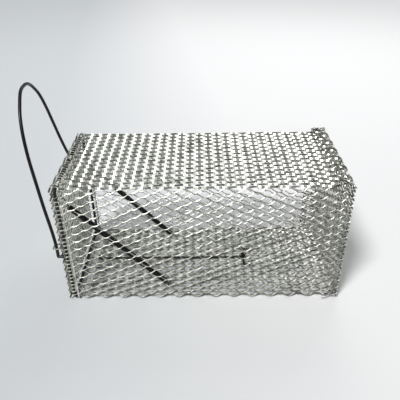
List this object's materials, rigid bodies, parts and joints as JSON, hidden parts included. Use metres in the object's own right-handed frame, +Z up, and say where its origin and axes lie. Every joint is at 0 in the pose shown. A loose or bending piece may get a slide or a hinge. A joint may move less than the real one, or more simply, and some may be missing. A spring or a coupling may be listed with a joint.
{
  "type": "live catch trap",
  "caption": "Box-shaped expanded-metal cage trap with a sprung, top-hung end door, a wire setting handle and a bait-operated trip lever.",
  "frame": {"origin": "centre of the cage floor's underside, on a strand crossing", "axes": "+X from the door to the closed end, +Y to the back, +Z up"},
  "size_m": [0.3148, 0.1392, 0.2135],
  "materials": {
    "galvanised_mesh": "hot-dip galvanised expanded steel, spangled and slightly dull",
    "frame_wire": "dark drawn steel wire, satin",
    "handle_wire": "black lacquered steel wire, satin",
    "trigger_wire": "dark drawn steel wire, satin",
    "spring_wire": "black oiled spring steel",
    "bait_wire": "bright zinc-plated wire",
    "tie_wire": "galvanised binding wire",
    "clip_strip": "galvanised strip, bent"
  },
  "bodies": {
    "cage": {"floor_mesh": "galvanised_mesh", "roof_mesh": "galvanised_mesh", "front_mesh": "galvanised_mesh", "back_mesh": "galvanised_mesh", "end_mesh": "galvanised_mesh", "end_flange_top": "galvanised_mesh", "end_flange_front": "galvanised_mesh", "end_flange_back": "galvanised_mesh", "entrance_frame": "frame_wire", "trigger_staple": "trigger_wire", "spring_front": "spring_wire", "spring_back": "spring_wire"},
    "door": {"door_mesh": "galvanised_mesh", "door_handle": "handle_wire", "handle_tie_front": "tie_wire", "handle_tie_back": "tie_wire", "hinge_clip_front": "clip_strip", "hinge_clip_middle": "clip_strip", "hinge_clip_back": "clip_strip"},
    "trigger": {"latch_rod": "trigger_wire", "bait_wire": "bait_wire"},
    "spring_front_end": {"spring_front_hook": "spring_wire"},
    "spring_back_end": {"spring_back_hook": "spring_wire"}
  },
  "joints": [
    {"name": "door_hinge", "type": "hinge", "parent": "cage", "child": "door", "pos_m": [-0.14, 0, 0.1351], "axis": [0, 1, 0], "range_deg": [0, 111.06], "stiffness_Nm_per_rad": 0.13, "springref_deg": -68.75},
    {"name": "trigger_pivot", "type": "hinge", "parent": "cage", "child": "trigger", "pos_m": [0.044, 0, 0.006], "axis": [0, 1, 0], "range_deg": [0, 52.63]},
    {"name": "spring_front_stretch", "type": "slide", "parent": "cage", "child": "spring_front_end", "axis": [-0.3682, 0, 0.9297], "range_m": [0, 0.03352], "deforming": ["spring_front", "spring_front_hook"]},
    {"name": "spring_back_stretch", "type": "slide", "parent": "cage", "child": "spring_back_end", "axis": [-0.3682, 0, 0.9297], "range_m": [0, 0.03352], "deforming": ["spring_back", "spring_back_hook"]}
  ],
  "couplings": [
    {"joint": "spring_front_stretch", "follows": "door_hinge", "m_per_rad": 0.017189},
    {"joint": "spring_back_stretch", "follows": "door_hinge", "m_per_rad": 0.017189}
  ]
}
